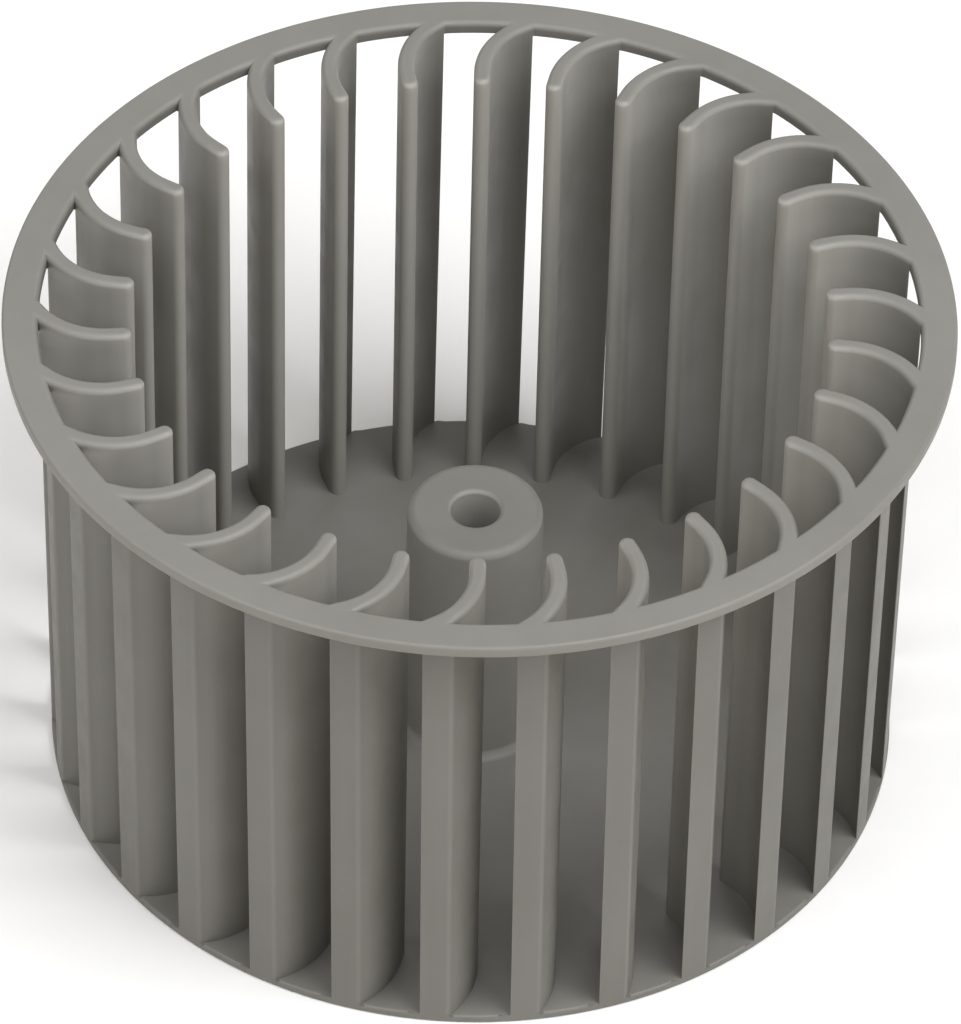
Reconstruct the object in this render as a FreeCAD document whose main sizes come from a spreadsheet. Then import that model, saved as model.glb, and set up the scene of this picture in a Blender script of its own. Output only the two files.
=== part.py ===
import FreeCAD
import Part
import math
import os

import Sketcher

# A forward-curved fan impeller, injection moulded in one piece.
# The frame's origin is the centre of the plate's flat underside. +Z runs along the shaft's axis,
# from the plate to the open inlet, and the first blade's inner nose lies on +Y.
# Seen from the inlet, the blades' outer tips point clockwise.
# Lengths are millimetres and angles are degrees.

SIZES = {
    # Whole wheel
    "WheelHeight": 90.0,
    "RingRadius": 75.0,
    # Inlet ring: a flat band that overhangs the cage of blades by its whole width
    "RingWidth": 5.7,
    "RingThickness": 2.1,
    "RingEdgeBreak": 0.35,
    # Cage: the turned envelope that ends the blades' outer edges, narrower towards the plate
    "CageDraft": 0.35,
    # Blades: one straight section from the inlet to the plate
    "BladeCount": 30,
    "BladeDepth": 14.5,
    "BladeThickness": 2.6,
    "BladeStraight": 2.0,
    "BladeBackAngle": 4.0,
    "BladeTipAngle": 6.2,
    "BladeTipSetback": 0.8,
    "BladeFlareAngle": 8.0,
    "BladeReach": 1.0,
    # Plate: the solid disc that closes the wheel's back
    "PlateThickness": 1.5,
    "PlateEdgeBreak": 0.5,
    # Hub: a tapered boss with a round bore for the motor shaft
    "HubHeight": 47.0,
    "HubRadius": 10.9,
    "HubDraft": 0.75,
    "HubTopRound": 0.9,
    "HubFootBevel": 1.4,
    "BoreRadius": 4.0,
    "BoreChamfer": 0.35,
    # Coring of the hub from below, so that its walls cool evenly in the mould
    "HubWall": 2.0,
    "HubRoof": 3.0,
    "SleeveWall": 2.0,
    "HubRibCount": 6,
    "HubRibThickness": 1.5,
    "HubRibSetback": 2.0,
}

CUT_MARGIN = 1.0
NEAR = 1e-3
ORIGIN_POINT = (-1, 1)

# Places that several features share, as expressions on the sheet
RING_INNER = "(Sizes.RingRadius - Sizes.RingWidth)"
RING_UNDERSIDE = "(Sizes.WheelHeight - Sizes.RingThickness)"
CAGE_RADIUS = RING_INNER
CAGE_SLOPE = "tan(Sizes.CageDraft * 1 deg)"
PLATE_RADIUS = f"({CAGE_RADIUS} - {RING_UNDERSIDE} * {CAGE_SLOPE})"
BLADE_INNER = f"({CAGE_RADIUS} - Sizes.BladeDepth)"
BLADE_TIP = f"({CAGE_RADIUS} - Sizes.BladeTipSetback)"
BLADE_END = f"({RING_INNER} + Sizes.BladeReach)"
HUB_SLOPE = "tan(Sizes.HubDraft * 1 deg)"
HUB_FOOT = f"(Sizes.HubRadius + (Sizes.HubHeight - Sizes.PlateThickness) * {HUB_SLOPE})"
HUB_CEILING = "(Sizes.HubHeight - Sizes.HubRoof)"
SLEEVE_RADIUS = "(Sizes.BoreRadius + Sizes.SleeveWall)"
CORE_RADIUS = "(Sizes.HubRadius - Sizes.HubWall)"


def make_sheet(document):
    """The driving dimensions, one aliased cell each."""
    sheet = document.addObject("Spreadsheet::Sheet", "Sizes")
    for row, (name, value) in enumerate(SIZES.items(), start=1):
        sheet.set(f"A{row}", name)
        sheet.set(f"B{row}", str(value))
        sheet.setAlias(f"B{row}", name)
    document.recompute()


def new_sketch(body, name, role, height=None):
    """A sketch on one of the body's own planes, raised along the plane's normal by an expression."""
    sketch = body.newObject("Sketcher::SketchObject", name)
    plane = next(item for item in body.Origin.OriginFeatures if item.Role == role)
    sketch.AttachmentSupport = (plane, [""])
    sketch.MapMode = "FlatFace"
    if height:
        sketch.setExpression("AttachmentOffset.Base.z", height)
    return sketch


def value_of(sketch, expression):
    """The number that an expression gives, or zero for a point held on an axis."""
    return sketch.evalExpression(expression) if expression else 0.0


def vector_of(sketch, point):
    """The sketch's vector for a pair of expressions."""
    return FreeCAD.Vector(value_of(sketch, point[0]), value_of(sketch, point[1]), 0)


def polar(radius, angle):
    """Expressions for a point at an angle from the sketch's upward axis, clockwise positive."""
    return f"{radius} * sin({angle} * 1 deg)", f"{radius} * cos({angle} * 1 deg)"


def dimension(sketch, expression, kind, *where):
    """A dimension of the sketch that follows an expression."""
    start = value_of(sketch, expression)
    index = sketch.addConstraint(Sketcher.Constraint(kind, *where, start))
    sketch.setExpression(f"Constraints[{index}]", expression)


def hold_point(sketch, vertex, point):
    """Ties a vertex to its distances from the origin; an expression of None puts it on the axis."""
    across, up = point
    level_axis, upright_axis = -1, -2
    if across:
        dimension(sketch, across, "DistanceX", *ORIGIN_POINT, *vertex)
    else:
        sketch.addConstraint(Sketcher.Constraint("PointOnObject", *vertex, upright_axis))
    if up:
        dimension(sketch, up, "DistanceY", *ORIGIN_POINT, *vertex)
    else:
        sketch.addConstraint(Sketcher.Constraint("PointOnObject", *vertex, level_axis))


def straight_outline(sketch, corners):
    """A closed outline of straight edges, with each corner held by its pair of expressions."""
    for index, corner in enumerate(corners):
        following = corners[(index + 1) % len(corners)]
        line = Part.LineSegment(vector_of(sketch, corner), vector_of(sketch, following))
        sketch.addGeometry(line, False)
    for index in range(len(corners)):
        following = (index + 1) % len(corners)
        sketch.addConstraint(Sketcher.Constraint("Coincident", index, 2, following, 1))
    for index, corner in enumerate(corners):
        hold_point(sketch, (index, 1), corner)


def turned(body, kind, name, corners):
    """A Revolution or Groove about the wheel's axis of an outline of radius and height."""
    sketch = new_sketch(body, f"{name}Outline", "XZ_Plane")
    straight_outline(sketch, corners)
    feature = body.newObject(f"PartDesign::{kind}", name)
    feature.Profile = sketch
    feature.ReferenceAxis = (sketch, ["V_Axis"])
    body.Document.recompute()
    return feature


def repeat(body, feature, name, count):
    """Copies of a feature spaced evenly about the wheel's axis."""
    pattern = body.newObject("PartDesign::PolarPattern", name)
    pattern.Originals = [feature]
    pattern.Axis = (feature.Profile[0], ["N_Axis"])
    pattern.setExpression("Occurrences", count)
    body.Tip = pattern
    body.Document.recompute()
    return pattern


def round_edges(shape, radius, height):
    """Names of the shape's whole circles about the wheel's axis at a radius and height."""
    names = []
    for index, edge in enumerate(shape.Edges, start=1):
        curve = edge.Curve
        if not isinstance(curve, Part.Circle) or not edge.Closed:
            continue
        at_height = abs(curve.Center.z - height) < NEAR
        on_axis = math.hypot(curve.Center.x, curve.Center.y) < NEAR
        if at_height and on_axis and abs(curve.Radius - radius) < NEAR:
            names.append(f"Edge{index}")
    return names


def dress_circles(body, kind, name, size_property, size, circles):
    """A Fillet or Chamfer on circles about the axis, each given as expressions of radius and height."""
    base = body.Tip
    names = []
    for radius, height in circles:
        found = round_edges(base.Shape, value_of(base, radius), value_of(base, height))
        if len(found) != 1:
            raise RuntimeError(f"{name}: {len(found)} edges at radius {radius}, height {height}")
        names.extend(found)
    feature = body.newObject(f"PartDesign::{kind}", name)
    feature.Base = (base, names)
    feature.setExpression(size_property, size)
    body.Document.recompute()
    return feature


def add_plate_and_hub(body):
    """The closed back with its tapered boss."""
    turned(body, "Revolution", "PlateAndHub", [
        (None, None),
        (CAGE_RADIUS, None),
        (CAGE_RADIUS, "Sizes.PlateThickness"),
        (HUB_FOOT, "Sizes.PlateThickness"),
        ("Sizes.HubRadius", "Sizes.HubHeight"),
        (None, "Sizes.HubHeight"),
    ])
    dress_circles(body, "Fillet", "HubTopRounding", "Radius", "Sizes.HubTopRound",
                  [("Sizes.HubRadius", "Sizes.HubHeight")])
    dress_circles(body, "Chamfer", "HubFootBevel", "Size", "Sizes.HubFootBevel",
                  [(HUB_FOOT, "Sizes.PlateThickness")])


def core_hub(body):
    """The ring-shaped hollow under the hub, with ribs that join its sleeve to its wall."""
    rise = f"({HUB_CEILING} + {CUT_MARGIN}) * {HUB_SLOPE}"
    turned(body, "Groove", "HubCore", [
        (SLEEVE_RADIUS, f"-{CUT_MARGIN}"),
        (f"{SLEEVE_RADIUS} + {rise}", HUB_CEILING),
        (CORE_RADIUS, HUB_CEILING),
        (f"{CORE_RADIUS} + {rise}", f"-{CUT_MARGIN}"),
    ])
    sketch = new_sketch(body, "HubRibOutline", "XY_Plane", "Sizes.HubRibSetback")
    near = "(Sizes.BoreRadius + Sizes.SleeveWall / 2)"
    far = "(Sizes.HubRadius - Sizes.HubWall / 2)"
    half = "Sizes.HubRibThickness / 2"
    straight_outline(sketch, [
        (near, f"-{half}"),
        (far, f"-{half}"),
        (far, half),
        (near, half),
    ])
    rib = body.newObject("PartDesign::Pad", "HubRib")
    rib.Profile = sketch
    rib.setExpression("Length", f"{HUB_CEILING} - Sizes.HubRibSetback + Sizes.HubRoof / 2")
    body.Document.recompute()
    repeat(body, rib, "HubRibs", "Sizes.HubRibCount")


def bore_hub(body):
    """The round shaft bore right through the hub, with a lead-in at both ends."""
    sketch = new_sketch(body, "BoreOutline", "XY_Plane")
    sketch.addGeometry(Part.Circle(FreeCAD.Vector(), FreeCAD.Vector(0, 0, 1), SIZES["BoreRadius"]), False)
    sketch.addConstraint(Sketcher.Constraint("Coincident", 0, 3, *ORIGIN_POINT))
    dimension(sketch, "Sizes.BoreRadius", "Radius", 0)
    bore = body.newObject("PartDesign::Pocket", "Bore")
    bore.Profile = sketch
    bore.Type = "ThroughAll"
    bore.Reversed = True
    body.Document.recompute()
    dress_circles(body, "Chamfer", "BoreLeadIns", "Size", "Sizes.BoreChamfer",
                  [("Sizes.BoreRadius", "0"), ("Sizes.BoreRadius", "Sizes.HubHeight")])


def draw_blade(sketch):
    """One blade's section: a round nose, two straight sides that curve clockwise on unequal arcs,
    and a flare that runs out into the ring."""
    nose_up = f"({BLADE_INNER} + Sizes.BladeThickness / 2)"
    bend_up = f"({nose_up} + Sizes.BladeStraight)"
    half = "Sizes.BladeThickness / 2"
    back_foot = vector_of(sketch, (f"-{half}", nose_up))
    back_bend = vector_of(sketch, (f"-{half}", bend_up))
    hollow_foot = vector_of(sketch, (half, nose_up))
    hollow_bend = vector_of(sketch, (half, bend_up))
    back_end = vector_of(sketch, polar(BLADE_END, "Sizes.BladeBackAngle"))
    flare_end = vector_of(sketch, polar(BLADE_END, "Sizes.BladeFlareAngle"))
    tip = vector_of(sketch, polar(BLADE_TIP, "Sizes.BladeTipAngle"))
    nose_centre = vector_of(sketch, (None, nose_up))
    nose, back_side, back, end, flare, hollow, hollow_side = range(7)

    sketch.addGeometry([
        arc(nose_centre, back_foot, hollow_foot),
        Part.LineSegment(back_foot, back_bend),
        arc(bend_centre(back_bend, back_end), back_end, back_bend),
        arc(FreeCAD.Vector(), flare_end, back_end),
        Part.LineSegment(tip, flare_end),
        arc(bend_centre(hollow_bend, tip), tip, hollow_bend),
        Part.LineSegment(hollow_bend, hollow_foot),
    ], False)
    for first, first_end, second, second_end in (
        (nose, 1, back_side, 1),
        (back_side, 2, back, 2),
        (hollow, 2, hollow_side, 1),
        (hollow_side, 2, nose, 2),
    ):
        sketch.addConstraint(Sketcher.Constraint("Tangent", first, first_end, second, second_end))
    for first, first_end, second, second_end in (
        (back, 1, end, 2),
        (end, 1, flare, 2),
        (flare, 1, hollow, 1),
        (end, 3, *ORIGIN_POINT),
    ):
        sketch.addConstraint(Sketcher.Constraint("Coincident", first, first_end, second, second_end))
    sketch.addConstraint(Sketcher.Constraint("Vertical", back_side))
    sketch.addConstraint(Sketcher.Constraint("Vertical", hollow_side))
    sketch.addConstraint(Sketcher.Constraint("Horizontal", back_side, 2, hollow_side, 1))
    hold_point(sketch, (nose, 3), (None, nose_up))
    dimension(sketch, half, "Radius", nose)
    dimension(sketch, "Sizes.BladeStraight", "DistanceY", back_side, 1, back_side, 2)
    hold_point(sketch, (back, 1), polar(BLADE_END, "Sizes.BladeBackAngle"))
    hold_point(sketch, (hollow, 1), polar(BLADE_TIP, "Sizes.BladeTipAngle"))
    flare_across, _ = polar(BLADE_END, "Sizes.BladeFlareAngle")
    dimension(sketch, flare_across, "DistanceX", *ORIGIN_POINT, flare, 2)


def arc(centre, start, end):
    """The arc that runs anticlockwise from one point to another about a centre."""
    circle = Part.Circle(centre, FreeCAD.Vector(0, 0, 1), (start - centre).Length)
    start_angle = math.atan2(start.y - centre.y, start.x - centre.x)
    end_angle = math.atan2(end.y - centre.y, end.x - centre.x)
    if end_angle <= start_angle:
        end_angle += 2 * math.pi
    return Part.ArcOfCircle(circle, start_angle, end_angle)


def bend_centre(bend, end):
    """The centre of the arc that leaves a bend straight upwards, to the right, and meets an end."""
    run = end.x - bend.x
    rise = end.y - bend.y
    return bend + FreeCAD.Vector((run ** 2 + rise ** 2) / (2 * run), 0, 0)


def add_blades(body):
    """The ring of blades, which stand in the plate and reach the inlet."""
    sketch = new_sketch(body, "BladeSection", "XY_Plane", "Sizes.WheelHeight")
    draw_blade(sketch)
    body.Document.recompute()
    blade = body.newObject("PartDesign::Pad", "Blade")
    blade.Profile = sketch
    blade.Reversed = True
    blade.setExpression("Length", "Sizes.WheelHeight - Sizes.PlateThickness / 2")
    body.Document.recompute()
    repeat(body, blade, "Blades", "Sizes.BladeCount")


def trim_cage(body):
    """Turns the blades' outer edges and the plate's rim to one slender cone below the ring,
    and breaks the plate's lower edge."""
    outside = f"(Sizes.RingRadius + {CUT_MARGIN})"
    turned(body, "Groove", "CageEnvelope", [
        (CAGE_RADIUS, RING_UNDERSIDE),
        (PLATE_RADIUS, "Sizes.PlateEdgeBreak"),
        (f"({PLATE_RADIUS} - Sizes.PlateEdgeBreak - {CUT_MARGIN})", f"-{CUT_MARGIN}"),
        (outside, f"-{CUT_MARGIN}"),
        (outside, RING_UNDERSIDE),
    ])


def add_ring(body):
    """The flat inlet ring that ties the blades' outer ends together, its outer edges broken."""
    broken = "(Sizes.RingRadius - Sizes.RingEdgeBreak)"
    turned(body, "Revolution", "Ring", [
        (RING_INNER, RING_UNDERSIDE),
        (broken, RING_UNDERSIDE),
        ("Sizes.RingRadius", f"({RING_UNDERSIDE} + Sizes.RingEdgeBreak)"),
        ("Sizes.RingRadius", "(Sizes.WheelHeight - Sizes.RingEdgeBreak)"),
        (broken, "Sizes.WheelHeight"),
        (RING_INNER, "Sizes.WheelHeight"),
    ])


def check(document, bodies):
    """Stops if any feature failed or any body isn't one valid solid."""
    for item in document.Objects:
        if "Invalid" in item.State or "Error" in item.State:
            raise RuntimeError(f"{item.Name} failed: {item.State}")
    for body in bodies:
        shape = body.Shape
        if shape.isNull() or not shape.isValid() or len(shape.Solids) != 1:
            raise RuntimeError(f"{body.Label} isn't one valid solid")


def main():
    document = FreeCAD.newDocument("FanImpeller")
    make_sheet(document)
    impeller = document.addObject("PartDesign::Body", "Impeller")
    impeller.Label = "impeller"
    impeller.Placement = FreeCAD.Placement()
    add_plate_and_hub(impeller)
    core_hub(impeller)
    bore_hub(impeller)
    add_blades(impeller)
    trim_cage(impeller)
    add_ring(impeller)
    check(document, [impeller])
    os.makedirs("parts", exist_ok=True)
    impeller.Shape.exportStep(f"parts/{impeller.Label}.step")
    print(f"{impeller.Label}: {impeller.Shape.Volume:.0f} mm3, {len(impeller.Shape.Faces)} faces")


main()
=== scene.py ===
"""Dresses the fan impeller: its moulding with rounded edges, its plastic, a pale floor and soft light."""
import logging
import math
from dataclasses import dataclass, field
from enum import Enum
from functools import reduce
from typing import ClassVar

import bmesh
import bpy
from bmesh.types import BMEdge, BMesh, BMVert
from mathutils import Matrix, Quaternion, Vector


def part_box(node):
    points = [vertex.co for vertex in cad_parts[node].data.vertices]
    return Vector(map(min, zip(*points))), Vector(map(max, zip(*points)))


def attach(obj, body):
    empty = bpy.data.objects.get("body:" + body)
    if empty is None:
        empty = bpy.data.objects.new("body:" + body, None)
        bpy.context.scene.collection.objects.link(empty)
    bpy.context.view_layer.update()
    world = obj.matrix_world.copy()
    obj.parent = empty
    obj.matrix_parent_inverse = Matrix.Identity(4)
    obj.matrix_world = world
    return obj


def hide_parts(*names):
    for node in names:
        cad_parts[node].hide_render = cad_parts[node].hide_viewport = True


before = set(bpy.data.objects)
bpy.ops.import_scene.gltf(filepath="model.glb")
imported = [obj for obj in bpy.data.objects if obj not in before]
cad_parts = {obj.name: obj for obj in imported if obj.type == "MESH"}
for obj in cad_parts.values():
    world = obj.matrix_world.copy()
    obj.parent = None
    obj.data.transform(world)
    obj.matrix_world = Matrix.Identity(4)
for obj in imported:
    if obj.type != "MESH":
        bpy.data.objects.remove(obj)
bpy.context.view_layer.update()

Colour = tuple[float, float, float, float]
Span = tuple[float, float]
Socket = bpy.types.NodeSocket
Sockets = tuple[Socket, ...]
Value = float | tuple[float, ...] | Socket

LOG = logging.getLogger("fan_impeller")
NODE = "impeller"
MM = 0.001
UPRIGHT = Vector((0, 0, 1))
SIDEWAYS = Vector((0, 1, 0))
FLATTEN = Vector((1, 1, 0))
FOLD_ANGLE = math.radians(25)
ROUNDED = "rounded"

# In millimetres: how near two vertices count as one, and by how much an edge is told from a circle.
WELD = 1e-3
CIRCLE_MARGIN = 1.0
CORNER_MARGIN = 0.1

# How level a surface lies where the painted light and the painted shade begin, and where they are whole.
WALL_SPAN: Span = (0.95, 0.4)

# The Mix node has sockets of one name for each kind of data, so the colour's are known by number.
MIX_SHARE, MIX_FIRST, MIX_SECOND = 0, 6, 7
MIX_COLOUR = 2


def spot(radius: float, angle: float, height: float = 0.0) -> Vector:
    """A point of the wheel, in millimetres and in degrees clockwise from +Y as seen from the inlet."""
    turn = math.radians(angle)
    return Vector((radius * math.sin(turn), radius * math.cos(turn), height))


def level_at(height: float) -> Vector:
    """The point of the shaft's axis at a height."""
    return Vector((0, 0, height))


def beside(radius: float, height: float) -> Vector:
    """A point of the hub's half section, at a radius and a height."""
    return Vector((radius, 0, height))


class Pen:
    """Draws connected edges in a mesh, from vertex to vertex."""

    def __init__(self, mesh: BMesh, start: Vector) -> None:
        """Puts the pen down.

        Args:
            mesh: the mesh that takes the edges.
            start: the first vertex, in millimetres.
        """
        self.mesh = mesh
        self.start = bmesh.ops.create_vert(mesh, co=start)["vert"][0]
        self.tip: BMVert = self.start
        self.edges: list[BMEdge] = []

    def line(self, end: Vector) -> list[BMEdge]:
        """Draws a straight edge.

        Args:
            end: where it ends, in millimetres.

        Returns:
            The new edge, in a list.
        """
        grown = bmesh.ops.extrude_vert_indiv(self.mesh, verts=[self.tip])
        self.tip = grown["verts"][0]
        self.tip.co = end
        self.edges += grown["edges"]
        return grown["edges"]

    def arc(self, centre: Vector, end: Vector, steps: int, axis: Vector = UPRIGHT) -> list[BMEdge]:
        """Draws the shorter arc about a centre.

        Args:
            centre: the arc's centre, in millimetres.
            end: a point, in millimetres, that lies the way the arc ends as seen from its centre.
            steps: how many edges it has.
            axis: the arc's axis.

        Returns:
            The new edges, in order.
        """
        first = self.tip.co - centre
        last = end - centre
        angle = math.atan2(axis.dot(first.cross(last)), first.dot(last))
        drawn: list[BMEdge] = []
        for step in range(1, steps + 1):
            turned = Quaternion(axis, angle * step / steps) @ first
            drawn += self.line(centre + turned)
        return drawn

    def fill(self) -> None:
        """Closes the outline and fills it with one flat face."""
        closing = bmesh.ops.contextual_create(self.mesh, geom=[self.tip, self.start])
        bmesh.ops.edgeloop_fill(self.mesh, edges=self.edges + closing["edges"])


def crossing(centre: Vector, radius: float, limit: float) -> Vector:
    """Where a circle leaves a circle about the wheel's axis, on the side of the blade's outer end.

    Args:
        centre: the circle's centre, level with the wheel's axis at the origin.
        radius: the circle's radius.
        limit: the radius of the circle about the axis.

    Returns:
        The crossing that lies further along +Y.
    """
    reach = centre.length
    along = (limit ** 2 - radius ** 2 + reach ** 2) / (2 * reach)
    aside = math.sqrt(limit ** 2 - along ** 2)
    outward = centre / reach
    across = Vector((-outward.y, outward.x, 0))
    return max((outward * along + across * side for side in (aside, -aside)), key=lambda found: found.y)


def on_line(start: Vector, end: Vector, limit: float) -> Vector:
    """Where a line that leads outwards meets a circle about the wheel's axis.

    Args:
        start: a point inside the circle.
        end: a point of the line further out.
        limit: the circle's radius.

    Returns:
        The meeting point.
    """
    way = (end - start).normalized()
    nearest = start.dot(way)
    return start + way * (math.sqrt(nearest ** 2 - start.length_squared + limit ** 2) - nearest)


def bend_centre(bend: Vector, end: Vector) -> Vector:
    """The centre of the arc that leaves a bend along +Y, curves clockwise and meets an end.

    Args:
        bend: where the arc starts.
        end: where it ends.

    Returns:
        The centre.
    """
    run = end.x - bend.x
    rise = end.y - bend.y
    return bend + Vector(((run ** 2 + rise ** 2) / (2 * run), 0, 0))


@dataclass(frozen=True)
class Smoothness:
    """How many edges each round stretch of the moulding gets."""

    half_nose: int = 7
    belly: int = 14
    hollow: int = 14
    blade_end: int = 4
    half_gap: int = 4
    sector: int = 12
    round_edge: int = 4


@dataclass(frozen=True)
class Section:
    """One blade's section at one height: its thickness, outer radius and each side's draft."""

    thickness: float
    limit: float
    growth: float


@dataclass
class Traced:
    """The edges of one level of a sector, from the middle of one gap to the middle of the next."""

    near_gap: list[BMEdge]
    blade: list[BMEdge]
    far_gap: list[BMEdge]
    belly_foot: Vector
    flare_foot: Vector

    @property
    def edges(self) -> list[BMEdge]:
        """All the level's edges, in order."""
        return self.near_gap + self.blade + self.far_gap


@dataclass
class Blades:
    """The ring of forward-curved blades, in millimetres and degrees."""

    count: int = 30
    inner_radius: float = 54.8
    inlet_thickness: float = 2.6
    foot_thickness: float = 2.8
    straight: float = 2.0
    belly_angle: float = 4.0
    hollow_angle: float = 6.2
    hollow_radius: float = 68.5
    flare_angle: float = 8.0
    reach: float = 1.0
    top_round: float = 0.9
    corner_round: float = 0.4
    smooth: Smoothness = field(default_factory=Smoothness)

    @property
    def pitch(self) -> float:
        """Degrees from one blade to the next."""
        return 360 / self.count

    def at_inlet(self, limit: float) -> Section:
        """The section at the inlet, out to a radius."""
        return Section(self.inlet_thickness, limit, 0.0)

    def at_foot(self, limit: float) -> Section:
        """The section at the plate, out to a radius, thicker by its draft."""
        return Section(self.foot_thickness, limit, (self.foot_thickness - self.inlet_thickness) / 2)

    def trace(
        self, mesh: BMesh, section: Section, ring_inner: float, gap: float, height: float
    ) -> tuple[Pen, Traced]:
        """Draws one sector's line at one height: half a gap, round the blade, and half the next gap.

        Args:
            mesh: the mesh that takes the edges.
            section: the blade's thickness, outer limit and growth there.
            ring_inner: the inlet ring's inner radius, from which the blade's outer points are set out.
            gap: the angle of the sector's first edge.
            height: the level, in millimetres.

        Returns:
            The pen, and the edges that it drew.
        """
        half = section.thickness / 2
        nose_up = self.inner_radius + self.inlet_thickness / 2
        bend_up = nose_up + self.straight
        grown = Vector((section.growth, 0, 0))
        end_radius = ring_inner + self.reach
        belly_bend = Vector((-half, bend_up, 0))
        hollow_bend = Vector((half, bend_up, 0))
        belly_centre = bend_centre(belly_bend, spot(end_radius, self.belly_angle) - grown)
        tip = spot(self.hollow_radius, self.hollow_angle) + grown
        hollow_centre = bend_centre(hollow_bend, tip)
        flare_end = spot(end_radius, self.flare_angle) + grown
        belly_foot = crossing(belly_centre, (belly_centre - belly_bend).length, section.limit)
        flare_foot = on_line(tip, flare_end, section.limit)
        level = level_at(height)
        nose_centre = Vector((0, nose_up, height))
        nose_tip = Vector((0, nose_up - half, height))
        smooth = self.smooth

        pen = Pen(mesh, spot(section.limit, gap, height))
        near_gap = pen.arc(level, belly_foot + level, smooth.half_gap)
        blade = pen.arc(belly_centre + level, belly_bend + level, smooth.belly)
        blade += pen.line(Vector((-half, nose_up, height)))
        blade += pen.arc(nose_centre, nose_tip, smooth.half_nose)
        blade += pen.arc(nose_centre, Vector((half, nose_up, height)), smooth.half_nose)
        blade += pen.line(hollow_bend + level)
        blade += pen.arc(hollow_centre + level, tip + level, smooth.hollow)
        blade += pen.line(flare_foot + level)
        far_gap = pen.arc(level, spot(section.limit, gap + self.pitch, height), smooth.half_gap)
        return pen, Traced(near_gap, blade, far_gap, belly_foot + level, flare_foot + level)


@dataclass
class InletRing:
    """The flat ring that ties the blades' outer ends together and overhangs them, in millimetres."""

    width: float = 5.7
    thickness: float = 2.1
    edge_round: float = 0.5


@dataclass
class BackPlate:
    """The solid disc that closes the back of the wheel, in millimetres."""

    thickness: float = 1.5
    rim_radius: float = 68.8
    edge_round: float = 0.5
    top_round: float = 0.4
    clear_radius: float = 52.0


@dataclass
class Hub:
    """The tapered boss with its shaft bore, cored from below, in millimetres and degrees."""

    height: float = 47.0
    radius: float = 10.9
    draft: float = 0.75
    top_round: float = 1.4
    foot_round: float = 1.6
    bore_radius: float = 4.0
    bore_round: float = 0.8
    wall: float = 2.0
    roof: float = 3.0
    sleeve_wall: float = 2.0
    rib_count: int = 6
    rib_thickness: float = 1.5
    rib_setback: float = 2.0
    round_steps: int = 6

    @property
    def ceiling(self) -> float:
        """The height of the hollow's roof."""
        return self.height - self.roof

    @property
    def sleeve(self) -> float:
        """The outer radius of the sleeve round the bore, at the floor."""
        return self.bore_radius + self.sleeve_wall

    @property
    def core(self) -> float:
        """The inner radius of the wall, under the roof."""
        return self.radius - self.wall

    def slope(self, drop: float) -> float:
        """How much the drafted side adds to the radius, at a drop below the hub's top."""
        return drop * math.tan(math.radians(self.draft))

    def add(self, mesh: BMesh, plate: BackPlate, turn_steps: int, start: float) -> None:
        """Spins the hub with the middle of the plate, and sets the ribs in its hollow.

        Args:
            mesh: the mesh that takes the faces.
            plate: the plate that the hub stands on.
            turn_steps: how many steps the full turn has.
            start: the angle of the first step.
        """
        pen = self.draw_profile(mesh, plate)
        outline = list(dict.fromkeys(vert for edge in pen.edges for vert in edge.verts))
        lead = Matrix.Rotation(math.radians(90 - start), 3, "Z")
        bmesh.ops.rotate(mesh, cent=(0, 0, 0), matrix=lead, verts=outline)
        bmesh.ops.spin(mesh, geom=outline + pen.edges, cent=(0, 0, 0), axis=UPRIGHT,
                       angle=math.tau, steps=turn_steps, use_merge=True, use_duplicate=False)
        self.add_ribs(mesh)

    def draw_profile(self, mesh: BMesh, plate: BackPlate) -> Pen:
        """Draws half the hub's section, from the plate's top over the hub to the plate's underside.

        Args:
            mesh: the mesh that takes the edges.
            plate: the plate that the hub stands on.

        Returns:
            The pen, with the edges that it drew.
        """
        floor = plate.thickness
        foot = self.radius + self.slope(self.height - floor)
        foot_out = foot + self.foot_round
        foot_up = floor + self.foot_round
        shoulder = self.height - self.top_round
        top_in = self.radius - self.top_round
        mouth = self.bore_radius + self.bore_round
        mouth_down = self.height - self.bore_round
        rise = self.slope(self.ceiling)
        steps = self.round_steps

        pen = Pen(mesh, beside(plate.clear_radius, floor))
        pen.line(beside(foot_out, floor))
        pen.arc(beside(foot_out, foot_up), beside(foot, foot_up), steps, SIDEWAYS)
        pen.line(beside(self.radius + self.slope(self.top_round), shoulder))
        pen.arc(beside(top_in, shoulder), beside(top_in, self.height), steps, SIDEWAYS)
        pen.line(beside(mouth, self.height))
        pen.arc(beside(mouth, mouth_down), beside(self.bore_radius, mouth_down), steps, SIDEWAYS)
        pen.line(beside(self.bore_radius, self.bore_round))
        pen.arc(beside(mouth, self.bore_round), beside(mouth, 0.0), steps, SIDEWAYS)
        pen.line(beside(self.sleeve, 0.0))
        pen.line(beside(self.sleeve + rise, self.ceiling))
        pen.line(beside(self.core, self.ceiling))
        pen.line(beside(self.core + rise, 0.0))
        pen.line(beside(plate.clear_radius, 0.0))
        return pen

    def add_ribs(self, mesh: BMesh) -> None:
        """Sets the ribs between the hub's sleeve and its wall, their ends sunk in both.

        Args:
            mesh: the mesh that takes the faces.
        """
        near = self.sleeve - self.sleeve_wall / 2
        far = self.core + self.wall / 2
        low = self.rib_setback
        high = self.ceiling + self.roof / 2
        rib = bmesh.ops.create_cube(mesh, size=1.0)["verts"]
        bmesh.ops.scale(mesh, vec=(far - near, self.rib_thickness, high - low), verts=rib)
        bmesh.ops.translate(mesh, vec=((near + far) / 2, 0, (low + high) / 2), verts=rib)
        faces = list(dict.fromkeys(face for vert in rib for face in vert.link_faces))
        bmesh.ops.spin(mesh, geom=rib + faces, cent=(0, 0, 0), axis=UPRIGHT,
                       angle=math.tau * (1 - 1 / self.rib_count), steps=self.rib_count - 1,
                       use_duplicate=True)


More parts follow.
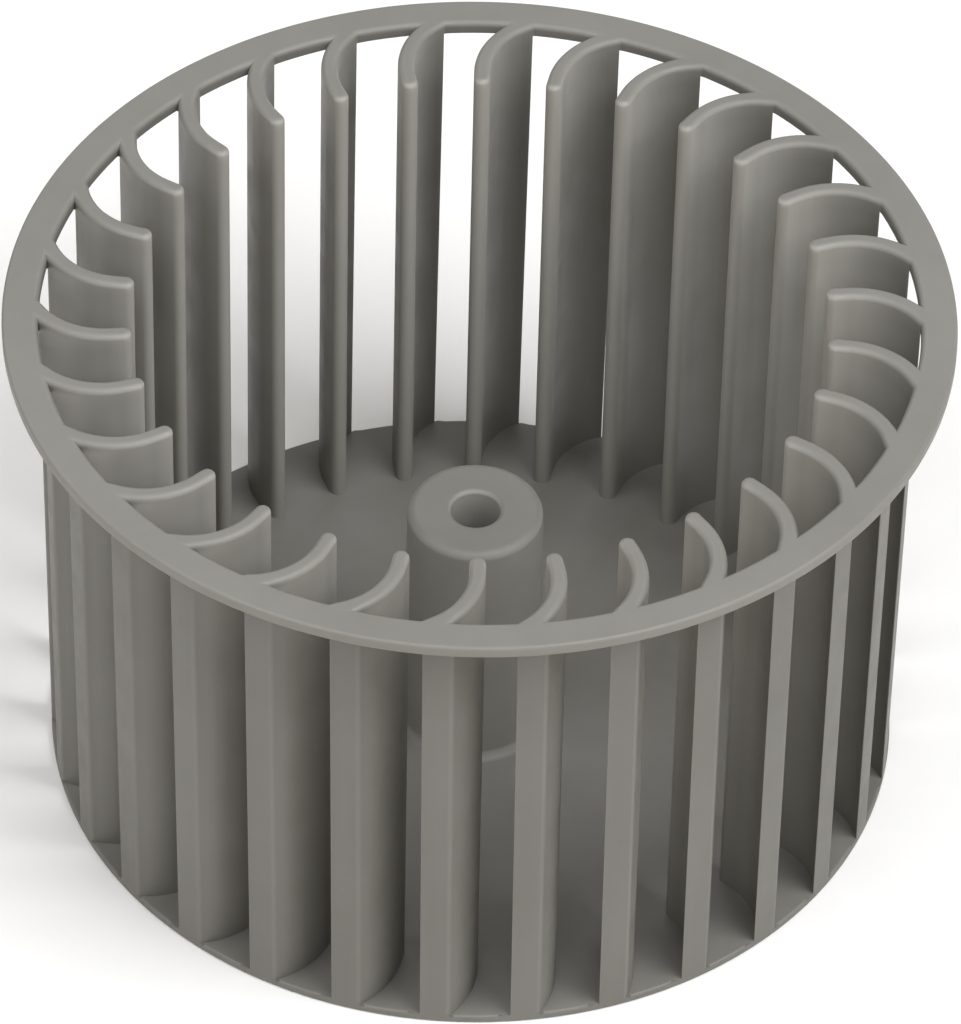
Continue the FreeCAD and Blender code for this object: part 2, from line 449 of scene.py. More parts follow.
class Fold(Enum):
    """The moulding's folds that get a rounding of their own."""

    INLET = "the blades' tops and the ring's inner edge"
    RING = "the ring's outer edges"
    PLATE_FOOT = "the plate's lower edge"
    PLATE_TOP = "the plate's upper edge between the blades"
    BLADE_END = "the blades' outer corners"
    NONE = "nothing"


@dataclass
class Impeller:
    """The whole one-piece moulding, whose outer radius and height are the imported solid's."""

    radius: float
    height: float
    ring: InletRing = field(default_factory=InletRing)
    blades: Blades = field(default_factory=Blades)
    plate: BackPlate = field(default_factory=BackPlate)
    hub: Hub = field(default_factory=Hub)

    @property
    def ring_inner(self) -> float:
        """The inlet ring's inner radius."""
        return self.radius - self.ring.width

    @property
    def underside(self) -> float:
        """The height of the inlet ring's underside."""
        return self.height - self.ring.thickness

    @property
    def gap(self) -> float:
        """The angle of a sector's first edge, in the middle of a gap at the ring."""
        return (self.blades.belly_angle + self.blades.flare_angle - self.blades.pitch) / 2

    @property
    def nose_gap(self) -> float:
        """The angle of the middle between two noses, where a sector ends inside the blades."""
        return self.gap - self.blades.pitch / 2

    def build(self) -> bpy.types.Object:
        """Builds the moulding.

        Returns:
            The finished object, at the origin and in metres.
        """
        mesh = bmesh.new()
        self.add_sector(mesh)
        everything = mesh.verts[:] + mesh.edges[:] + mesh.faces[:]
        count = self.blades.count
        bmesh.ops.spin(mesh, geom=everything, cent=(0, 0, 0), axis=UPRIGHT,
                       angle=math.tau * (1 - 1 / count), steps=count - 1, use_duplicate=True)
        self.hub.add(mesh, self.plate, count * self.blades.smooth.sector, self.nose_gap)
        bmesh.ops.remove_doubles(mesh, verts=mesh.verts, dist=WELD)
        bmesh.ops.recalc_face_normals(mesh, faces=mesh.faces)
        self.round_edges(mesh)
        bmesh.ops.scale(mesh, vec=(MM, MM, MM), verts=mesh.verts)
        return finished(mesh, "impeller_moulding")

    def dress(self, moulding: bpy.types.Object) -> None:
        """Gives the moulding its plastic."""
        moulding.data.materials.append(MouldedPlastic().build())

    def add_sector(self, mesh: BMesh) -> None:
        """Adds one blade with its share of the ring and the plate.

        Args:
            mesh: the mesh that takes the faces.
        """
        plate = self.plate
        inlet = self.blades.at_inlet(self.ring_inner)
        foot = self.blades.at_foot(plate.rim_radius)
        top_pen, top = self.trace(mesh, inlet, self.height)
        self.run_round(top_pen, self.radius, self.height)
        _, under = self.trace(mesh, inlet, self.underside)
        bridge(mesh, top.edges, under.edges)
        _, hung = self.trace(mesh, inlet, self.underside)
        floor_pen, standing = self.trace(mesh, foot, plate.thickness)
        bridge(mesh, hung.blade, standing.blade)
        self.run_round(floor_pen, plate.clear_radius, plate.thickness)
        self.add_ring_edge(mesh)
        self.add_blade_end(mesh, hung, standing)
        self.add_flat(mesh, under, self.ring_inner, self.radius, self.underside)
        self.add_flat(mesh, standing, plate.rim_radius, plate.clear_radius, 0.0)
        self.add_rim(mesh, standing)

    def trace(self, mesh: BMesh, section: Section, height: float) -> tuple[Pen, Traced]:
        """Draws one sector's line at one height, and returns the pen and the edges that it drew."""
        return self.blades.trace(mesh, section, self.ring_inner, self.gap, height)

    def run_round(self, pen: Pen, radius: float, height: float) -> None:
        """Takes a level's line out or in to a circle, back along it, and fills the outline.

        Args:
            pen: the pen at the sector's last edge.
            radius: the circle's radius.
            height: the level.
        """
        start = self.gap if radius > self.ring_inner else self.nose_gap
        pen.line(spot(radius, start + self.blades.pitch, height))
        pen.arc(level_at(height), spot(radius, start, height), self.blades.smooth.sector)
        pen.fill()

    def follow_limit(self, pen: Pen, traced: Traced, limit: float, height: float) -> list[BMEdge]:
        """Draws a sector's whole outer circle, with a vertex at each of the blade's two corners.

        Args:
            pen: the pen at the sector's first edge.
            traced: the level whose corners it passes.
            limit: the circle's radius.
            height: the level.

        Returns:
            The new edges, in order.
        """
        smooth = self.blades.smooth
        level = level_at(height)
        drawn = pen.arc(level, traced.belly_foot * FLATTEN + level, smooth.half_gap)
        drawn += pen.arc(level, traced.flare_foot * FLATTEN + level, smooth.blade_end)
        drawn += pen.arc(level, spot(limit, self.gap + self.blades.pitch, height), smooth.half_gap)
        return drawn

    def add_flat(self, mesh: BMesh, traced: Traced, limit: float, other: float, height: float) -> None:
        """Adds a sector of a flat band between the circle at the blades' outer ends and another circle.

        Args:
            mesh: the mesh that takes the face.
            traced: the level whose corners the band passes.
            limit: the radius at the blades' outer ends.
            other: the other circle's radius.
            height: the level.
        """
        pen = Pen(mesh, spot(limit, self.gap, height))
        self.follow_limit(pen, traced, limit, height)
        self.run_round(pen, other, height)

    def add_ring_edge(self, mesh: BMesh) -> None:
        """Adds a sector of the inlet ring's upright outer edge.

        Args:
            mesh: the mesh that takes the faces.
        """
        lines: list[list[BMEdge]] = []
        for height in (self.height, self.underside):
            pen = Pen(mesh, spot(self.radius, self.gap, height))
            end = spot(self.radius, self.gap + self.blades.pitch, height)
            lines.append(pen.arc(level_at(height), end, self.blades.smooth.sector))
        bridge(mesh, *lines)

    def add_blade_end(self, mesh: BMesh, hung: Traced, standing: Traced) -> None:
        """Adds the outer end face of a blade, from the ring down to the plate.

        Args:
            mesh: the mesh that takes the faces.
            hung: the level under the ring.
            standing: the level on the plate.
        """
        lines: list[list[BMEdge]] = []
        for traced in (hung, standing):
            pen = Pen(mesh, traced.belly_foot)
            centre = level_at(traced.belly_foot.z)
            lines.append(pen.arc(centre, traced.flare_foot, self.blades.smooth.blade_end))
        bridge(mesh, *lines)

    def add_rim(self, mesh: BMesh, standing: Traced) -> None:
        """Adds a sector of the plate's rim.

        Args:
            mesh: the mesh that takes the faces.
            standing: the level on the plate.
        """
        radius = self.plate.rim_radius
        lines: list[list[BMEdge]] = []
        for height in (self.plate.thickness, 0.0):
            pen = Pen(mesh, spot(radius, self.gap, height))
            lines.append(self.follow_limit(pen, standing, radius, height))
        bridge(mesh, *lines)

    def round_edges(self, mesh: BMesh) -> None:
        """Rounds the moulding's edges, and marks the rounded faces for the material.

        Args:
            mesh: the welded mesh, in millimetres.
        """
        rounded = mesh.faces.layers.float.new(ROUNDED)
        sizes = {
            Fold.INLET: self.blades.top_round,
            Fold.RING: self.ring.edge_round,
            Fold.PLATE_FOOT: self.plate.edge_round,
            Fold.BLADE_END: self.blades.corner_round,
            Fold.PLATE_TOP: self.plate.top_round,
        }
        for fold, size in sizes.items():
            edges = [edge for edge in mesh.edges if self.fold_of(edge) is fold]
            made = bmesh.ops.bevel(mesh, geom=edges, offset=size, offset_type="OFFSET", affect="EDGES",
                                   segments=self.blades.smooth.round_edge, profile=0.5, material=-1,
                                   clamp_overlap=False)
            for face in made["faces"]:
                face[rounded] = 1.0
            LOG.info("rounded %d edges of %s by %.2f mm", len(edges), fold.value, size)

    def fold_of(self, edge: BMEdge) -> Fold:
        """Names the rounding that an edge takes.

        Args:
            edge: an edge of the welded mesh, in millimetres.

        Returns:
            The fold that it belongs to.
        """
        if not edge.is_manifold or not folds(edge):
            return Fold.NONE
        near = reach(edge)
        low, high = sorted(vert.co.z for vert in edge.verts)
        level = high - low < WELD
        if level and near > self.radius - CIRCLE_MARGIN:
            return Fold.RING
        if level and self.height - low < WELD:
            return Fold.INLET
        if level and high < WELD and near > self.plate.clear_radius + CIRCLE_MARGIN:
            return Fold.PLATE_FOOT
        if level and abs(low - self.plate.thickness) < WELD and near > self.plate.rim_radius - WELD:
            return Fold.PLATE_TOP
        if high - low > self.height / 2 and near > self.blades.hollow_radius + CORNER_MARGIN:
            return Fold.BLADE_END
        return Fold.NONE


def bridge(mesh: BMesh, first: list[BMEdge], second: list[BMEdge]) -> None:
    """Joins two lines of edges with faces."""
    bmesh.ops.bridge_loops(mesh, edges=first + second)


def reach(edge: BMEdge) -> float:
    """The smaller of the two radii at an edge's ends."""
    return min(vert.co.xy.length for vert in edge.verts)


def folds(edge: BMEdge) -> bool:
    """True if the surface turns sharply at an edge."""
    return edge.calc_face_angle(0.0) > FOLD_ANGLE


def finished(mesh: BMesh, name: str) -> bpy.types.Object:
    """Turns a mesh into an object with smooth faces between its folds.

    Args:
        mesh: the mesh in metres, which is freed.
        name: the object's name.

    Returns:
        The object, at the origin and in the scene.
    """
    open_edges = sum(not edge.is_manifold for edge in mesh.edges)
    for face in mesh.faces:
        face.smooth = True
    for edge in mesh.edges:
        edge.smooth = not folds(edge)
    piece = placed(mesh, name)
    normals = piece.modifiers.new("even_shading", "WEIGHTED_NORMAL")
    normals.keep_sharp = True
    data = piece.data
    data.calc_loop_triangles()
    LOG.info("%s: %d faces, %d triangles, %d open edges", name, len(data.polygons),
             len(data.loop_triangles), open_edges)
    return piece


def placed(mesh: BMesh, name: str) -> bpy.types.Object:
    """Puts a mesh in the scene.

    Args:
        mesh: the mesh in metres, which is freed.
        name: the object's name.

    Returns:
        The object, at the origin.
    """
    data = bpy.data.meshes.new(name)
    mesh.to_mesh(data)
    mesh.free()
    piece = bpy.data.objects.new(name, data)
    bpy.context.scene.collection.objects.link(piece)
    return piece


class Wiring:
    """Adds and joins shader nodes in one node tree."""

    def __init__(self, tree: bpy.types.NodeTree) -> None:
        """Starts with an empty tree."""
        self.tree = tree
        tree.nodes.clear()

    def node(
        self, kind: str, inputs: dict[str | int, Value] | None = None, **settings: object
    ) -> bpy.types.Node:
        """Adds a node.

        Args:
            kind: the node's type.
            inputs: a value, or a socket to join, for each input by its name or number.
            settings: the node's own properties, which are set first.

        Returns:
            The node.
        """
        made = self.tree.nodes.new(kind)
        for name, value in settings.items():
            setattr(made, name, value)
        for name, value in (inputs or {}).items():
            if isinstance(value, Socket):
                self.tree.links.new(value, made.inputs[name])
            else:
                made.inputs[name].default_value = value
        return made

    def maths(self, operation: str, first: Value, second: Value = 0.0) -> Socket:
        """Adds a Math node and returns its output."""
        return self.node("ShaderNodeMath", {0: first, 1: second}, operation=operation).outputs[0]

    def product(self, first: Value, *others: Value) -> Socket:
        """Multiplies values, from the first to the last, and returns the result."""
        return reduce(lambda result, factor: self.maths("MULTIPLY", result, factor), others, first)

    def blend(self, share: Value, first: Value, second: Value) -> Socket:
        """Mixes two colours and returns the result."""
        inputs = {MIX_SHARE: share, MIX_FIRST: first, MIX_SECOND: second}
        return self.node("ShaderNodeMix", inputs, data_type="RGBA").outputs[MIX_COLOUR]

    def spread(self, value: Value, span: Span) -> Socket:
        """Maps a value so that the span's first end gives 0 and its second gives 1, and returns it."""
        inputs = {"Value": value, "From Min": span[0], "From Max": span[1]}
        return self.node("ShaderNodeMapRange", inputs).outputs[0]

    def stretched(self, place: Socket, scale: tuple[float, float, float]) -> Socket:
        """Scales a place along its axes and returns it."""
        return self.node("ShaderNodeMapping", {"Vector": place, "Scale": scale}).outputs[0]

    def noise(self, place: Socket, scale: Value, detail: float, roughness: float = 0.5) -> Socket:
        """Adds a noise pattern and returns its value."""
        inputs = {"Vector": place, "Scale": scale, "Detail": detail, "Roughness": roughness}
        return self.node("ShaderNodeTexNoise", inputs).outputs[0]

    def round_axis(self, place: Socket) -> tuple[Socket, Socket]:
        """Splits a place into its distance from the shaft's axis and its height.

        Args:
            place: the place.

        Returns:
            The distance and the height, in metres.
        """
        split = self.node("ShaderNodeSeparateXYZ", {0: place})
        flat = self.node("ShaderNodeCombineXYZ", {"X": split.outputs["X"], "Y": split.outputs["Y"]})
        radius = self.node("ShaderNodeVectorMath", {0: flat.outputs[0]}, operation="LENGTH")
        return radius.outputs["Value"], split.outputs["Z"]

    def tilt(self, normal: str) -> Socket:
        """Returns how far a normal of the surface leans up: 1 on a floor, 0 on a wall."""
        facing = self.node("ShaderNodeNewGeometry").outputs[normal]
        return self.node("ShaderNodeSeparateXYZ", {0: facing}).outputs["Z"]

    def walls(self, normal: str, span: Span) -> Socket:
        """Returns a mask of the walls, from 0 where the surface is as level as the span's first end."""
        return self.spread(self.maths("ABSOLUTE", self.tilt(normal)), span)


class Effect:
    """A shader node group, with the names of what it takes and what it gives."""

    name: ClassVar[str]
    takes: ClassVar[dict[str, float | None]] = {"Place": None}
    gives: ClassVar[tuple[str, ...]]

    def wire(self, wiring: Wiring, start: bpy.types.Node) -> Sockets:
        """Draws the group's nodes and returns the sockets of what the group gives, in order."""
        raise NotImplementedError

    def build(self) -> bpy.types.NodeTree:
        """Builds the node group.

        Returns:
            The group, whose inputs are a place or a number with its usual value.
        """
        tree = bpy.data.node_groups.new(self.name, "ShaderNodeTree")
        for label, usual in self.takes.items():
            kind = "NodeSocketVector" if usual is None else "NodeSocketFloat"
            made = tree.interface.new_socket(name=label, in_out="INPUT", socket_type=kind)
            if usual is not None:
                made.default_value = usual
        for label in self.gives:
            tree.interface.new_socket(name=label, in_out="OUTPUT", socket_type="NodeSocketFloat")
        wiring = Wiring(tree)
        start = wiring.node("NodeGroupInput")
        end = wiring.node("NodeGroupOutput")
        for label, socket in zip(self.gives, self.wire(wiring, start)):
            tree.links.new(socket, end.inputs[label])
        return tree

    def add(self, wiring: Wiring, **inputs: Value) -> bpy.types.Node:
        """Places the group in a material, with its values and sockets, and returns its node."""
        return wiring.node("ShaderNodeGroup", inputs, node_tree=self.build())


@dataclass(frozen=True)
class MouldGrain(Effect):
    """The fine eroded grain of the mould's wall, as a height."""

    name: ClassVar[str] = "mould_grain"
    takes: ClassVar[dict[str, float | None]] = {"Place": None, "Fineness": 5000.0}
    gives: ClassVar[tuple[str, ...]] = ("Height",)
    detail: float = 2.0
    roughness: float = 0.6

    def wire(self, wiring: Wiring, start: bpy.types.Node) -> Sockets:
        """Draws the group's nodes and returns the grain's height."""
        place, fineness = start.outputs["Place"], start.outputs["Fineness"]
        return (wiring.noise(place, fineness, self.detail, self.roughness),)


@dataclass(frozen=True)
class MeltMottle(Effect):
    """The slow cloudiness of the melt: broad clouds and finer patches."""

    name: ClassVar[str] = "melt_mottle"
    gives: ClassVar[tuple[str, ...]] = ("Clouds", "Patches")
    cloud_fineness: float = 28.0
    cloud_roughness: float = 0.55
    cloud_share: float = 0.65
    cloud_span: Span = (0.36, 0.64)
    patch_fineness: float = 160.0
    patch_roughness: float = 0.6
    patch_share: float = 0.35
    patch_span: Span = (0.4, 0.65)
    detail: float = 2.0

    def wire(self, wiring: Wiring, start: bpy.types.Node) -> Sockets:
        """Draws the group's nodes.

        Args:
            wiring: the group's wiring.
            start: the node with the group's inputs.

        Returns:
            The clouds and the patches, each from 0 to 1.
        """
        place = start.outputs["Place"]
        clouds = wiring.noise(place, self.cloud_fineness, self.detail, self.cloud_roughness)
        patches = wiring.noise(place, self.patch_fineness, self.detail, self.patch_roughness)
        broad = wiring.product(clouds, self.cloud_share)
        mixed = wiring.maths("ADD", broad, wiring.product(patches, self.patch_share))
        return wiring.spread(mixed, self.cloud_span), wiring.spread(patches, self.patch_span)


@dataclass(frozen=True)
class DrawMarks(Effect):
    """The faint upright lines that the wheel gets as it leaves the mould, on its walls only."""

    name: ClassVar[str] = "draw_marks"
    gives: ClassVar[tuple[str, ...]] = ("Height", "Lines")
    stretch: tuple[float, float, float] = (900.0, 900.0, 14.0)
    detail: float = 2.0
    wall_span: Span = (0.5, 0.05)
    line_span: Span = (0.55, 0.7)

    def wire(self, wiring: Wiring, start: bpy.types.Node) -> Sockets:
        """Draws the group's nodes.

        Args:
            wiring: the group's wiring.
            start: the node with the group's inputs.

        Returns:
            The marks' height, and a mask of the deeper lines.
        """
        drawn = wiring.stretched(start.outputs["Place"], self.stretch)
        lines = wiring.noise(drawn, 1.0, self.detail)
        wall = wiring.walls("True Normal", self.wall_span)
        return wiring.product(lines, wall), wiring.product(wiring.spread(lines, self.line_span), wall)


@dataclass(frozen=True)
class SettledDust(Effect):
    """The thin uneven dust that settles on what faces up."""

    name: ClassVar[str] = "settled_dust"
    gives: ClassVar[tuple[str, ...]] = ("Cover",)
    level_span: Span = (0.6, 0.98)
    fineness: float = 90.0
    detail: float = 3.0
    roughness: float = 0.65
    uneven_span: Span = (0.42, 0.72)

    def wire(self, wiring: Wiring, start: bpy.types.Node) -> Sockets:
        """Draws the group's nodes.

        Args:
            wiring: the group's wiring.
            start: the node with the group's inputs.

        Returns:
            The share that the dust covers.
        """
        level = wiring.spread(wiring.tilt("True Normal"), self.level_span)
        pattern = wiring.noise(start.outputs["Place"], self.fineness, self.detail, self.roughness)
        return (wiring.product(level, wiring.spread(pattern, self.uneven_span)),)


@dataclass(frozen=True)
class InletPaintedLight(Effect):
    """Painted light inside the cage: paler walls and noses towards the top, paler tops, a lit bore mouth, a
    paler hub foot, in metres.
    """

    name: ClassVar[str] = "painted_inlet_light"
    gives: ClassVar[tuple[str, ...]] = ("Cover", "Noses", "Tops", "Bore", "Foot")
    inside_radius: Span = (0.0675, 0.0600)
    inside_height: Span = (-0.03, 0.09)
    fineness: float = 60.0
    detail: float = 2.0
    uneven_span: Span = (-0.4, 0.6)
    nose_outer: Span = (0.0585, 0.0552)
    nose_inner: Span = (0.048, 0.053)
    nose_height: Span = (-0.06, 0.09)
    top_height: Span = (0.0865, 0.0888)
    bore_radius: Span = (0.0058, 0.0046)
    bore_height: Span = (0.042, 0.0455)
    foot_outer: Span = (0.0132, 0.0124)
    foot_inner: Span = (0.0098, 0.0102)
    foot_height: Span = (0.036, 0.012)

    def wire(self, wiring: Wiring, start: bpy.types.Node) -> Sockets:
        """Draws the group's nodes.

        Args:
            wiring: the group's wiring.
            start: the node with the group's inputs.

        Returns:
            The painted light on the blades' inner walls, on their noses, on the tops, in the bore's mouth
            and on the hub's foot, each from 0 to 1.
        """
        spread = wiring.spread
        place = start.outputs["Place"]
        radius, height = wiring.round_axis(place)
        wall = wiring.walls("Normal", WALL_SPAN)
        uneven = spread(wiring.noise(place, self.fineness, self.detail), self.uneven_span)
        inside = (spread(radius, self.inside_radius), spread(height, self.inside_height))
        noses = (spread(radius, self.nose_outer), spread(radius, self.nose_inner))
        bore = (spread(radius, self.bore_radius), spread(height, self.bore_height))
        foot = (spread(radius, self.foot_outer), spread(radius, self.foot_inner))
        # Painted light: paler inner walls and noses higher up, paler tops, a lit bore mouth, a paler lower
        # hub side.
        return (
            wiring.product(*inside, uneven, wall),
            wiring.product(*noses, spread(height, self.nose_height), wall),
            spread(height, self.top_height),
            wiring.product(*bore, wall),
            wiring.product(*foot, spread(height, self.foot_height), wall),
        )


@dataclass(frozen=True)
class CagePaintedShade(Effect):
    """Painted shade on the blades' outer ends, darker in faint upright streaks, in metres."""

    name: ClassVar[str] = "cage_painted_shade"
    gives: ClassVar[tuple[str, ...]] = ("PaintedShade",)
    inner: Span = (0.0676, 0.0686)
    outer: Span = (0.072, 0.070)
    stretch: tuple[float, float, float] = (220.0, 220.0, 9.0)
    detail: float = 2.0
    streak_span: Span = (-0.3, 0.7)

    def wire(self, wiring: Wiring, start: bpy.types.Node) -> Sockets:
        """Draws the group's nodes.

        Args:
            wiring: the group's wiring.
            start: the node with the group's inputs.

        Returns:
            The share of the painted shade.
        """
        place = start.outputs["Place"]
        radius, _ = wiring.round_axis(place)
        outside = (wiring.spread(radius, self.inner), wiring.spread(radius, self.outer))
        streaks = wiring.noise(wiring.stretched(place, self.stretch), 1.0, self.detail)
        wall = wiring.walls("Normal", WALL_SPAN)
        # Painted shade: the blades' outer ends darker, in streaks.
        return (wiring.product(*outside, wiring.spread(streaks, self.streak_span), wall),)


def started(name: str) -> tuple[bpy.types.Material, Wiring, Socket]:
    """Starts a material.

    Args:
        name: the material's name.

    Returns:
        The material, its wiring, and the place on the piece that its patterns follow.
    """
    material = bpy.data.materials.new(name)
    material.use_nodes = True
    wiring = Wiring(material.node_tree)
    return material, wiring, wiring.node("ShaderNodeTexCoord").outputs["Object"]


def give_surface(wiring: Wiring, inputs: dict[str | int, Value]) -> None:
    """Adds a material's shader, with its values and sockets, and the material's output."""
    surface = wiring.node("ShaderNodeBsdfPrincipled", inputs)
    wiring.node("ShaderNodeOutputMaterial", {"Surface": surface.outputs[0]})


@dataclass(frozen=True)
class MouldedPlastic:
    """Warm grey filled plastic, satin from a finely eroded mould, with depths in metres."""

    name: str = "satin_grey_plastic"
    shade: Colour = (0.164, 0.153, 0.129, 1.0)
    pale: Colour = (0.188, 0.176, 0.152, 1.0)
    # Paler tone of the painted light inside the cage, and of the rubbed edges' wear.
    wear_and_painted_light: Colour = (0.4, 0.375, 0.326, 1.0)
    dust: Colour = (0.25, 0.236, 0.211, 1.0)
    # Darker tone of the painted shade on the blades' outer ends.
    painted_shade: Colour = (0.075, 0.07, 0.058, 1.0)
    roughness: float = 0.46
    roughness_change: float = 0.12
    line_roughness: float = -0.05
    refraction: float = 1.5
    reflection: float = 0.5
    grain_fineness: float = 5200.0
    grain_depth: float = 0.00004
    grain_strength: float = 0.6
    marks_depth: float = 0.00005
    marks_strength: float = 0.5
    dust_share: float = 0.12
    # Shares of the painted shade, of the rubbed edges' wear, and of the painted light on the inner walls,
    # noses, tops, bore and hub foot.
    painted_shade_share: float = 0.28
    edge_share: float = 0.05
    inner_light_share: float = 0.6
    nose_share: float = 0.78
    top_share: float = 0.12
    bore_share: float = 0.5
    foot_share: float = 0.45

    def build(self) -> bpy.types.Material:
        """Builds the material.

        Returns:
            The material, for every face of the moulding.
        """
        material, wiring, place = started(self.name)
        mottle = MeltMottle().add(wiring, Place=place).outputs
        marks = DrawMarks().add(wiring, Place=place).outputs
        rough = wiring.maths("ADD", wiring.product(mottle["Patches"], self.roughness_change), self.roughness)
        rough = wiring.maths("ADD", rough, wiring.product(marks["Lines"], self.line_roughness))
        give_surface(wiring, {
            "Base Color": self.colour(wiring, place, mottle["Clouds"]),
            "Roughness": rough,
            "Normal": self.bump(wiring, place, marks["Height"]),
            "IOR": self.refraction,
            "Specular IOR Level": self.reflection,
        })
        return material

    def colour(self, wiring: Wiring, place: Socket, clouds: Socket) -> Socket:
        """Lays the painted shade, the painted light, the rubbed edges' wear and the dust over the plastic's
        own colour.

        Args:
            wiring: the material's wiring.
            place: the place on the piece.
            clouds: the mottle's broad clouds.

        Returns:
            The colour.
        """
        dust = SettledDust().add(wiring, Place=place).outputs
        painted_light = InletPaintedLight().add(wiring, Place=place).outputs
        painted_shade = CagePaintedShade().add(wiring, Place=place).outputs
        rounded = wiring.node("ShaderNodeAttribute", attribute_name=ROUNDED).outputs["Fac"]
        layers = (
            # Painted shade on the outer ends, painted light inside the cage, then the rubbed edges' wear and
            # the dust.
            (painted_shade["PaintedShade"], self.painted_shade_share, self.painted_shade),
            (painted_light["Cover"], self.inner_light_share, self.wear_and_painted_light),
            (painted_light["Noses"], self.nose_share, self.wear_and_painted_light),
            (painted_light["Tops"], self.top_share, self.wear_and_painted_light),
            (painted_light["Bore"], self.bore_share, self.wear_and_painted_light),
            (painted_light["Foot"], self.foot_share, self.wear_and_painted_light),
            (rounded, self.edge_share, self.wear_and_painted_light),
            (dust["Cover"], self.dust_share, self.dust),
        )
        colour = wiring.blend(clouds, self.shade, self.pale)
        for mask, share, tone in layers:
            colour = wiring.blend(wiring.product(mask, share), colour, tone)
        return colour

    def bump(self, wiring: Wiring, place: Socket, marks: Socket) -> Socket:
        """Raises the grain and the draw marks.

        Args:
            wiring: the material's wiring.
            place: the place on the piece.
            marks: the draw marks' height.

        Returns:
            The normal.
        """
        grain = MouldGrain().add(wiring, Place=place, Fineness=self.grain_fineness)
        fine = wiring.node("ShaderNodeBump", {
            "Height": grain.outputs["Height"], "Distance": self.grain_depth, "Strength": self.grain_strength,
        })
        both = wiring.node("ShaderNodeBump", {
            "Height": marks, "Distance": self.marks_depth, "Strength": self.marks_strength,
            "Normal": fine.outputs[0],
        })
        return both.outputs[0]


@dataclass(frozen=True)
class PalePaper:
    """The plain pale floor's finish."""

    name: str = "pale_floor"
    shade: Colour = (0.93, 0.89, 0.84, 1.0)
    pale: Colour = (0.945, 0.905, 0.855, 1.0)
    roughness: float = 0.8
    cloud_fineness: float = 1.5
    detail: float = 2.0

    def build(self) -> bpy.types.Material:
        """Builds the material.

        Returns:
            The material, with the faintest unevenness.
        """
        material, wiring, place = started(self.name)
        clouds = wiring.noise(place, self.cloud_fineness, self.detail)
        colour = wiring.blend(clouds, self.shade, self.pale)
        give_surface(wiring, {"Base Color": colour, "Roughness": self.roughness})
        return material


def direction(azimuth: float, elevation: float) -> Vector:
    """The way to a light or the camera, at degrees to the right of the wheel's front and above it."""
    turn, up = math.radians(azimuth), math.radians(elevation)
    return Vector((math.sin(turn) * math.cos(up), -math.cos(turn) * math.cos(up), math.sin(up)))


class Lamp(Enum):
    """The soft lights round the wheel."""

    FRONT = (-5.0, 45.0, 0.9, 8.2)
    FRONT_RIGHT = (32.0, 48.0, 1.2, 4.1)
    LEFT = (-70.0, 42.0, 1.4, 7.6)
    RIGHT = (70.0, 42.0, 1.4, 12.6)
    BACK = (180.0, 60.0, 1.2, 5.1)
    HIGH_LEFT = (-55.0, 62.0, 1.2, 8.4)
    HIGH_RIGHT = (55.0, 62.0, 1.2, 23.0)

    def __init__(self, azimuth: float, elevation: float, width: float, power: float) -> None:
        """Names the values of a light.

        Args:
            azimuth: degrees to the right of the wheel's front.
            elevation: degrees above the floor.
            width: metres across.
            power: watts.
        """
        self.way = direction(azimuth, elevation)
        self.width = width
        self.power = power


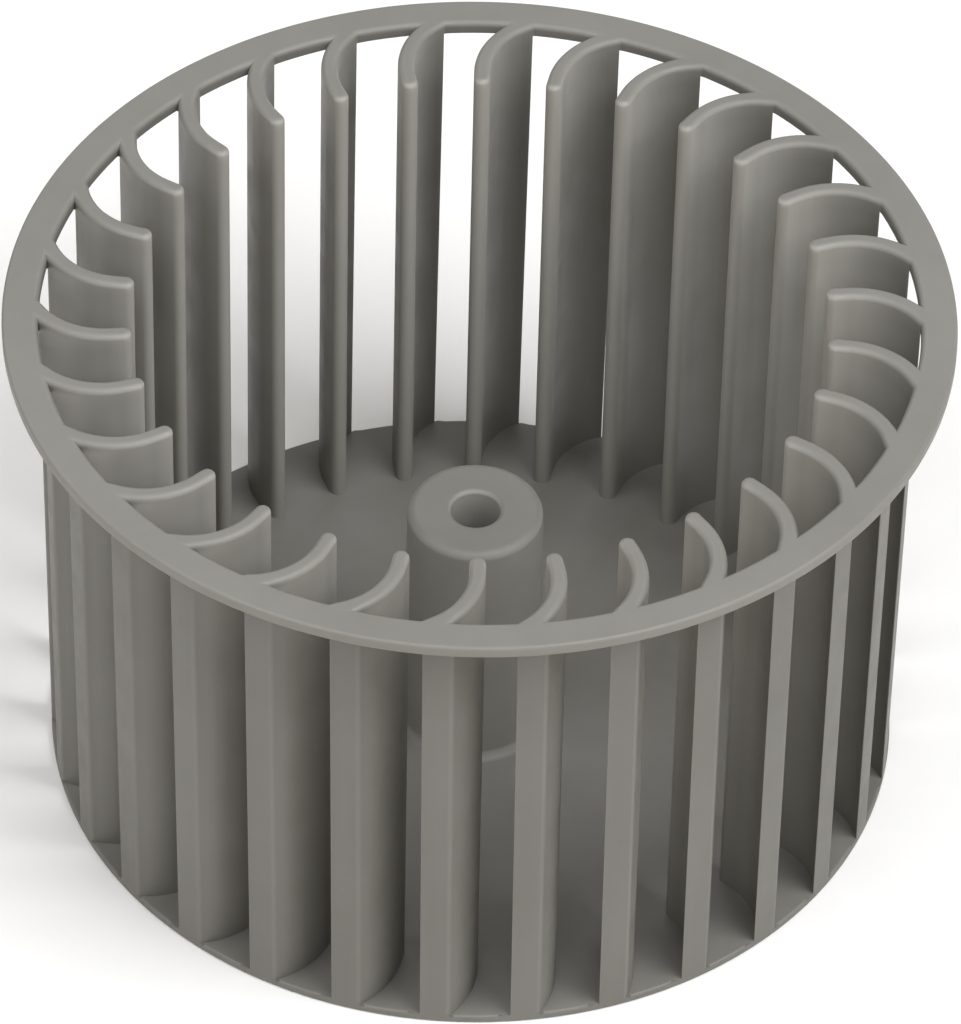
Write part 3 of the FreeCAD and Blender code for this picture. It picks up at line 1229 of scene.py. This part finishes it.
@dataclass
class Studio:
    """The pale floor, the soft lights round the wheel and the room's even light, in metres."""

    floor_size: float = 12.0
    lamp_distance: float = 2.0
    lamp_colour: tuple[float, float, float] = (0.885, 0.931, 1.0)
    room_colour: Colour = (1.0, 0.95, 0.84, 1.0)
    room_light: float = 0.18
    aim: Vector = field(default_factory=lambda: Vector((0, 0, 0.05)))

    def build(self) -> None:
        """Adds the floor and the lights."""
        self.add_floor()
        for lamp in Lamp:
            self.add_light(lamp)
        self.add_room()
        bpy.context.scene.view_settings.view_transform = "Standard"
        LOG.info("floor: %.0f m wide, under %d soft lights", self.floor_size, len(Lamp))

    def add_floor(self) -> None:
        """Adds the floor."""
        mesh = bmesh.new()
        bmesh.ops.create_grid(mesh, x_segments=1, y_segments=1, size=self.floor_size / 2)
        floor = placed(mesh, "floor")
        floor.data.materials.append(PalePaper().build())

    def add_room(self) -> None:
        """Adds the even light of a pale room."""
        room = bpy.data.worlds.new("pale_room")
        room.use_nodes = True
        wiring = Wiring(room.node_tree)
        even = wiring.node("ShaderNodeBackground", {"Color": self.room_colour, "Strength": self.room_light})
        wiring.node("ShaderNodeOutputWorld", {"Surface": even.outputs[0]})
        bpy.context.scene.world = room

    def add_light(self, lamp: Lamp) -> None:
        """Adds a round soft light that faces the wheel.

        Args:
            lamp: where it stands, how wide it is and its power.
        """
        name = lamp.name.lower()
        data = bpy.data.lights.new(name, "AREA")
        data.shape = "DISK"
        data.size = lamp.width
        data.energy = lamp.power
        data.color = self.lamp_colour
        light = bpy.data.objects.new(name, data)
        light.location = lamp.way * self.lamp_distance
        light.rotation_euler = (self.aim - light.location).to_track_quat("-Z", "Y").to_euler()
        bpy.context.scene.collection.objects.link(light)


@dataclass
class PhotoCamera:
    """A camera at the photograph's viewing angle, in pixels, metres, degrees and millimetres of film."""

    image_width: int = 961
    image_height: int = 1024
    focal_length_px: float = 8245.1
    distance: float = 1.29396
    elevation: float = 42.6
    azimuth: float = -0.547
    roll: float = -1.306
    aim_px: tuple[float, float] = (480.01, 311.12)
    film_height: float = 24.0

    def build(self, aim: Vector) -> bpy.types.Object:
        """Adds the camera, so that a point of the wheel shows at its place in the photograph.

        Args:
            aim: the point, in metres.

        Returns:
            The camera.
        """
        data = bpy.data.cameras.new("photo_camera")
        data.sensor_fit = "VERTICAL"
        data.sensor_height = self.film_height
        data.lens = self.focal_length_px * self.film_height / self.image_height
        camera = bpy.data.objects.new("photo_camera", data)
        away = direction(self.azimuth, self.elevation)
        looking = (-away).to_track_quat("-Z", "Y")
        rolled = Quaternion(UPRIGHT, -math.radians(self.roll))
        across = self.aim_px[0] - self.image_width / 2
        down = self.aim_px[1] - self.image_height / 2
        seen = Vector((across, -down, -self.focal_length_px))
        swung = Vector((0, 0, -1)).rotation_difference(seen)
        facing = looking @ rolled @ swung.inverted()
        camera.matrix_world = Matrix.Translation(aim + away * self.distance) @ facing.to_matrix().to_4x4()
        bpy.context.scene.collection.objects.link(camera)
        bpy.context.scene.camera = camera
        LOG.info("%s: %.3f m from the wheel", camera.name, self.distance)
        return camera


def main() -> None:
    """Builds the wheel and its surroundings."""
    logging.basicConfig(level=logging.INFO, format="%(name)s: %(message)s")
    low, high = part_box(NODE)
    wheel = Impeller(radius=(high.x - low.x) / 2 / MM, height=(high.z - low.z) / MM)
    moulding = wheel.build()
    wheel.dress(moulding)
    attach(moulding, "root")
    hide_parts(NODE)
    Studio().build()
    PhotoCamera().build(Vector((0, 0, high.z)))
    bpy.context.view_layer.update()


if __name__ == "__main__":
    main()
